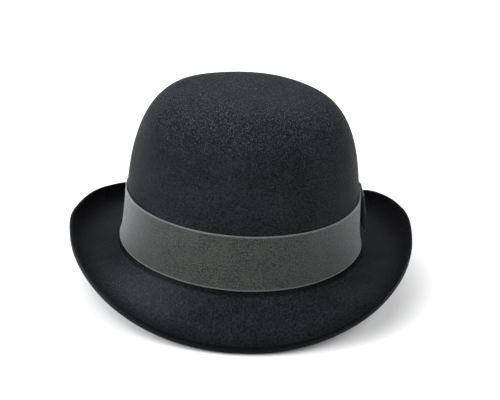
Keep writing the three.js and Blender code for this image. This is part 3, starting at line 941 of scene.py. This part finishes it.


def felt_look():
    """Black fur felt: a matt, speckled nap with lighter hair tips and soft patches. A painted
    highlight makes it paler and more flecked at the front of the brim on the wearer's right; painted
    glints fleck its top; painted shade darkens the brim's edge and the crown's foot under the band."""
    made, tree = new_material("black_felt")
    place = object_place(tree)
    patches = grain(tree, place, 38, 3)
    brushed = scaled(tree, place, (1, 0.4, 1))  # the nap is brushed from front to back
    nap = grain(tree, brushed, 820, 2, 0.6)
    tips = grain(tree, brushed, 1300, 0, 0.5)
    height = add(tree, "SeparateXYZ", {"Vector": place}).outputs["Z"]
    # painted shade: the felt darkens towards the brim's edge, where its curl turns away from the light
    painted_edge_shade = between(tree, reach(tree, place, EDGE_OVAL), 0.86, 0.98, 0, 1 - EDGE_SHADE_KEEPS)
    # painted highlight: paler, more flecked felt where the left lights catch the front of the brim
    painted_light_patch = between(tree, reach(tree, place, PAINTED_LIGHT_SPACE, PAINTED_LIGHT_AT), 1, 0.2)
    # painted highlight: on the crown's top, where the light falls, the flecks are strengthened as
    # glints
    upper = between(tree, height, 0.108, 0.134)
    shade = calc(
        tree,
        "MULTIPLY",
        between(tree, reach(tree, place, BAND_OVAL), 1.002, 1.011, 0.6, 0),
        between(tree, height, (FOOT_HEIGHT + 4) * MM, (FOOT_HEIGHT + 6) * MM, 1, 0),
    )
    tone = calc(tree, "MULTIPLY", nap, between(tree, patches, 0.3, 0.7, 0.88, 1.12))
    colour = blend(tree, between(tree, tone, 0.36, 0.66), FELT_DARK, FELT_LIGHT)
    painted_lit_colour = blend(tree, calc(tree, "MULTIPLY", painted_light_patch, 0.5), colour, FELT_PAINTED_LIGHT)
    # the flecks are hair tips all over; their extra strength on top and in the lit patch is painted
    # glint
    strength = between(tree, calc(tree, "MAXIMUM", painted_light_patch, upper), 0, 1, 0.18, 0.85)
    fleck_and_glint = calc(tree, "MULTIPLY", between(tree, tips, 0.55, 0.75), strength)
    flecked = blend(tree, fleck_and_glint, painted_lit_colour, FELT_FLECK)
    # painted shade at the brim's edge and on the crown's foot under the band
    edged = blend(tree, calc(tree, "MAXIMUM", painted_edge_shade, shade), flecked, (0, 0, 0))
    finish_material(
        tree,
        Base_Color=edged,
        Roughness=between(tree, nap, 0.35, 0.65, 0.42, 0.62),
        IOR=1.09,
        Specular_IOR_Level=0.4,
        Sheen_Weight=0.015,
        Sheen_Roughness=0.5,
        Sheen_Tint=(0.72, 0.78, 1.0),
        Normal=bumps(tree, (patches, 0.5), (nap, 0.6), (tips, 0.4)),
    )
    return made


RIBBON_DARK = (0.004, 0.0041, 0.004)
RIBBON_LIGHT = (0.046, 0.048, 0.0465)
RIBBON_DUST = (0.05, 0.054, 0.043)


def grosgrain_look(name, dark, light, width, sheen=0.8):
    """Ribbed ribbon: fine threads along the ribs, a woven edge made paler by a painted highlight where
    it catches light, and a little dust.
    """
    made, tree = new_material(name)
    weave = weave_place(tree)
    threads = grain(tree, scaled(tree, weave, (2600, 500, 1)), 1, 2, 0.6)
    mesh_grain = grain(tree, scaled(tree, weave, (1000, 1150, 1)), 1, 1, 0.5)
    wear = grain(tree, weave, 70, 3)
    across = add(tree, "SeparateXYZ", {"Vector": weave}).outputs["Y"]
    from_middle = calc(tree, "ABSOLUTE", calc(tree, "SUBTRACT", across, width / 2 * MM), 0)
    selvedge = between(tree, from_middle, (width / 2 - 0.8) * MM, (width / 2 - 0.5) * MM)
    slubs = grain(tree, scaled(tree, weave, (330, 800, 1)), 1, 1, 0.5)
    tone = total(tree, (threads, 0.27), (mesh_grain, 0.53), (slubs, 0.2))
    colour = blend(tree, between(tree, tone, 0.39, 0.61), dark, light)
    worn = blend(tree, between(tree, wear, 0.4, 0.75, 0, 0.3), colour, RIBBON_DUST)
    # painted highlight: the woven edge is paler, as where the edges catch light
    painted_edge_highlight = tuple(2.2 * x for x in light)
    edged = blend(tree, calc(tree, "MULTIPLY", selvedge, 0.7), worn, painted_edge_highlight)
    finish_material(
        tree,
        Base_Color=edged,
        Roughness=between(tree, threads, 0.3, 0.7, 0.6, 0.8),
        IOR=1.15,
        Specular_IOR_Level=0.5,
        Sheen_Weight=sheen,
        Sheen_Roughness=0.4,
        Sheen_Tint=(0.95, 0.97, 1.0),
        Normal=bumps(tree, (threads, 0.08), (mesh_grain, 0.25)),
    )
    return made


def leather_look():
    """Thin brown sheepskin with pores, creases, a thin polish and darker patches here and there."""
    made, tree = new_material("brown_leather")
    weave = weave_place(tree)
    pores = between(tree, cells(tree, scaled(tree, weave, (1, 1.15, 1)), 620), 0, 0.25)
    creases = between(tree, cells(tree, scaled(tree, weave, (1, 0.5, 1)), 110), 0, 0.06)
    tone = grain(tree, weave, 24, 4, 0.6)
    fine = grain(tree, weave, 900, 2)
    colour = blend(tree, between(tree, tone, 0.3, 0.7), (0.085, 0.03, 0.012), (0.2, 0.085, 0.036))
    in_pore = calc(tree, "MULTIPLY", calc(tree, "SUBTRACT", 1.0, pores), 0.5)
    pored = blend(tree, in_pore, colour, (0.04, 0.015, 0.007))
    finish_material(
        tree,
        Base_Color=pored,
        Roughness=between(tree, tone, 0.3, 0.7, 0.34, 0.52),
        Specular_IOR_Level=0.5,
        Coat_Weight=0.12,
        Coat_Roughness=0.3,
        Normal=bumps(tree, (creases, 0.12), (pores, 0.1), (fine, 0.03)),
    )
    return made


def satin_look():
    """Ivory satin: fine floats along one way, soft creases and slight yellowing."""
    made, tree = new_material("ivory_satin")
    place = object_place(tree)
    age = grain(tree, place, 14, 4)
    floats = grain(tree, scaled(tree, place, (500, 500, 2600)), 1, 2)
    creases = grain(tree, scaled(tree, place, (70, 70, 22)), 1, 3)
    colour = blend(tree, between(tree, age, 0.3, 0.7), (0.7, 0.62, 0.47), (0.8, 0.75, 0.63))
    finish_material(
        tree,
        Base_Color=blend(tree, between(tree, floats, 0.3, 0.8, 0, 0.25), colour, (0.93, 0.9, 0.82)),
        Roughness=between(tree, floats, 0.3, 0.7, 0.3, 0.42),
        Specular_IOR_Level=0.5,
        Anisotropic=0.4,
        Sheen_Weight=0.3,
        Sheen_Roughness=0.3,
        Normal=bumps(tree, (creases, 0.5), (floats, 0.03)),
    )
    return made


def thread_look(name, colour):
    made, tree = new_material(name)
    place = object_place(tree)
    strands = grain(tree, place, 2400, 3, 0.7)
    light = tuple(min(1, 2.2 * x + 0.01) for x in colour)
    finish_material(
        tree,
        Base_Color=blend(tree, between(tree, strands, 0.35, 0.65), colour, light),
        Roughness=between(tree, strands, 0.3, 0.7, 0.5, 0.7),
        Sheen_Weight=0.3,
        Sheen_Roughness=0.4,
        Normal=bumps(tree, (strands, 0.08)),
    )
    return made


def patch_look():
    """Old gold woven patch: basket weave with greyer worn patches here and there."""
    made, tree = new_material("woven_patch")
    weave = weave_place(tree)
    warp = grain(tree, scaled(tree, weave, (2200, 600, 1)), 1, 1)
    weft = grain(tree, scaled(tree, weave, (600, 2200, 1)), 1, 1)
    thread = calc(tree, "MAXIMUM", warp, weft)
    wear = grain(tree, weave, 60, 3)
    colour = blend(tree, between(tree, thread, 0.45, 0.75), (0.2, 0.13, 0.045), (0.5, 0.37, 0.16))
    finish_material(
        tree,
        Base_Color=blend(tree, between(tree, wear, 0.35, 0.75, 0, 0.4), colour, (0.42, 0.33, 0.19)),
        Roughness=between(tree, thread, 0.4, 0.8, 0.5, 0.72),
        Sheen_Weight=0.3,
        Sheen_Roughness=0.4,
        Normal=bumps(tree, (thread, 0.15)),
    )
    return made


def card_look():
    made, tree = new_material("plain_card")
    place = object_place(tree)
    fibres = grain(tree, place, 900, 4, 0.7)
    stain = grain(tree, place, 60, 3)
    colour = blend(tree, between(tree, fibres, 0.3, 0.7), (0.76, 0.72, 0.6), (0.86, 0.83, 0.74))
    finish_material(
        tree,
        Base_Color=blend(tree, between(tree, stain, 0.45, 0.8, 0, 0.35), colour, (0.6, 0.5, 0.34)),
        Roughness=between(tree, fibres, 0.3, 0.7, 0.8, 0.92),
        Normal=bumps(tree, (fibres, 0.05)),
    )
    return made


def floor_look():
    made, tree = new_material("pale_floor")
    place = object_place(tree)
    haze = grain(tree, place, 3, 3)
    finish_material(
        tree,
        Base_Color=blend(tree, haze, (0.9, 0.9, 0.905), (0.92, 0.92, 0.925)),
        Roughness=0.7,
        Specular_IOR_Level=0.2,
    )
    return made


# ---- The hat ----


def build_hat():
    band_ribbon, bow_ribbon, knot_ribbon = (
        grosgrain_look(f"charcoal_grosgrain_{name}", RIBBON_DARK, RIBBON_LIGHT, width, sheen)
        for name, width, sheen in (
            ("band", RIBBON_WIDTH, 0.8), ("bow", BOW_WIDTH, 0.3), ("wrap", 2 * KNOT_HALF_WIDTH, 0.5)
        )
    )
    small_ribbon = grosgrain_look("black_taffeta", (0.012, 0.011, 0.011), (0.045, 0.043, 0.042), 9)
    dark_thread = thread_look("black_thread", (0.012, 0.012, 0.013))
    brown_thread = thread_look("brown_thread", (0.1, 0.055, 0.03))
    leather = leather_look()
    satin = satin_look()

    felt_hood(felt_look())
    grosgrain_band(band_ribbon)
    band_tack("band_stitch_front", "band_tack_front", -pi / 2, dark_thread)
    band_tack("band_stitch_right", "band_tack_right", pi, dark_thread)
    band_tack("band_stitch_rear", "band_tack_rear", pi / 2, dark_thread)
    bow_pad(bow_ribbon)
    bow_loop("bow_loop_front", "bow_front_loop", -1, bow_ribbon)
    bow_loop("bow_loop_rear", "bow_rear_loop", 1, bow_ribbon)
    bow_knot(knot_ribbon)
    bow_tack("bow_stitch_upper", "bow_tack_upper", 0.9, dark_thread)
    bow_tack("bow_stitch_lower", "bow_tack_lower", 0.1, dark_thread)
    sweatband(leather)
    sweatband_reed(leather)
    reed_stitches(brown_thread)
    back_seam(brown_thread)
    small_bow(small_ribbon)
    small_bow_knot(small_ribbon)
    lining_side(satin)
    lining_tip(satin)
    lining_piping(satin)
    crest_patch(patch_look())
    size_ticket(card_look())


# ---- Floor, light and camera (metres from here on) ----


def build_floor():
    size = 12.0
    count = 9
    steps = np.linspace(-size, size, count)
    x, y = np.meshgrid(steps, steps, indexing="ij")
    mesh = bpy.data.meshes.new("floor")
    corners = grid_faces(count, count, False, False)
    faces = corners[..., 0] * count + corners[..., 1]
    mesh.from_pydata(np.stack([x, y, 0 * x], -1).reshape(-1, 3), [], faces.tolist())
    floor = bpy.data.objects.new("floor", mesh)
    floor.location.z = -0.0002  # keeps clear of the felt that stands on it
    bpy.context.scene.collection.objects.link(floor)
    mesh.materials.append(floor_look())
    floor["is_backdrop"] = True


def area_light(name, place, aim, size, power, tint=(1, 1, 1)):
    lamp = bpy.data.lights.new(name, "AREA")
    lamp.shape = "RECTANGLE"
    lamp.size, lamp.size_y = size
    lamp.energy = power
    lamp.color = tint
    holder = bpy.data.objects.new(name, lamp)
    holder.location = place
    holder.rotation_euler = (Vector(aim) - Vector(place)).to_track_quat("-Z", "Y").to_euler()
    bpy.context.scene.collection.objects.link(holder)


def build_light():
    """Soft studio light: a key and a low window on the left, a fill on the right, one behind."""
    world = bpy.data.worlds.new("studio")
    world.use_nodes = True
    background = world.node_tree.nodes["Background"]
    background.inputs["Color"].default_value = (0.98, 0.99, 1.0, 1)
    background.inputs["Strength"].default_value = 0.3
    scene = bpy.context.scene
    scene.world = world
    scene.view_settings.view_transform = "Standard"
    hat = (0, 0, 0.08)
    area_light("key_left", (-1.2, -0.85, 1.31), hat, (2.4, 2.0), 49)
    area_light("fill_right", (1.4, -0.86, 1.2), hat, (1.6, 1.6), 33)
    area_light("window_left", (-1.7, -0.6, 0.65), hat, (1.8, 1.1), 26, (0.97, 0.98, 1.0))
    area_light("back_top", (-0.2, 1.3, 1.5), hat, (2.0, 1.0), 25)


def build_camera():
    """The photo's viewpoint: a long lens a little above the brim, rolled by three degrees."""
    azimuth, elevation, roll = radians(-0.98), radians(19.61), radians(3.02)
    distance = 1.23492
    shift_right, shift_up = -0.00503, 0.00837
    target = Vector((0, 0, (FOOT_HEIGHT + 40) * MM))
    back = Vector(
        (sin(azimuth) * cos(elevation), -cos(azimuth) * cos(elevation), sin(elevation))
    )
    level = Vector((cos(azimuth), sin(azimuth), 0))
    upright = back.cross(level)
    right = cos(roll) * level + sin(roll) * upright
    up = -sin(roll) * level + cos(roll) * upright
    place = target - shift_right * right - shift_up * up + distance * back
    data = bpy.data.cameras.new("camera")
    data.sensor_width = 36
    data.lens = 119.75
    data.clip_start, data.clip_end = 0.05, 60
    camera = bpy.data.objects.new("camera", data)
    axes = Matrix((right, up, back)).transposed().to_4x4()
    camera.matrix_world = Matrix.Translation(place) @ axes
    bpy.context.scene.collection.objects.link(camera)
    bpy.context.scene.camera = camera


noise.seed_set(STRAY_SEED)
build_camera()
build_hat()
build_floor()
build_light()

sizes = {"cad": CAD_BOUNDS, "visual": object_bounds()}
{name: [list(corner) for corner in box] for name, box in sizes.items()}
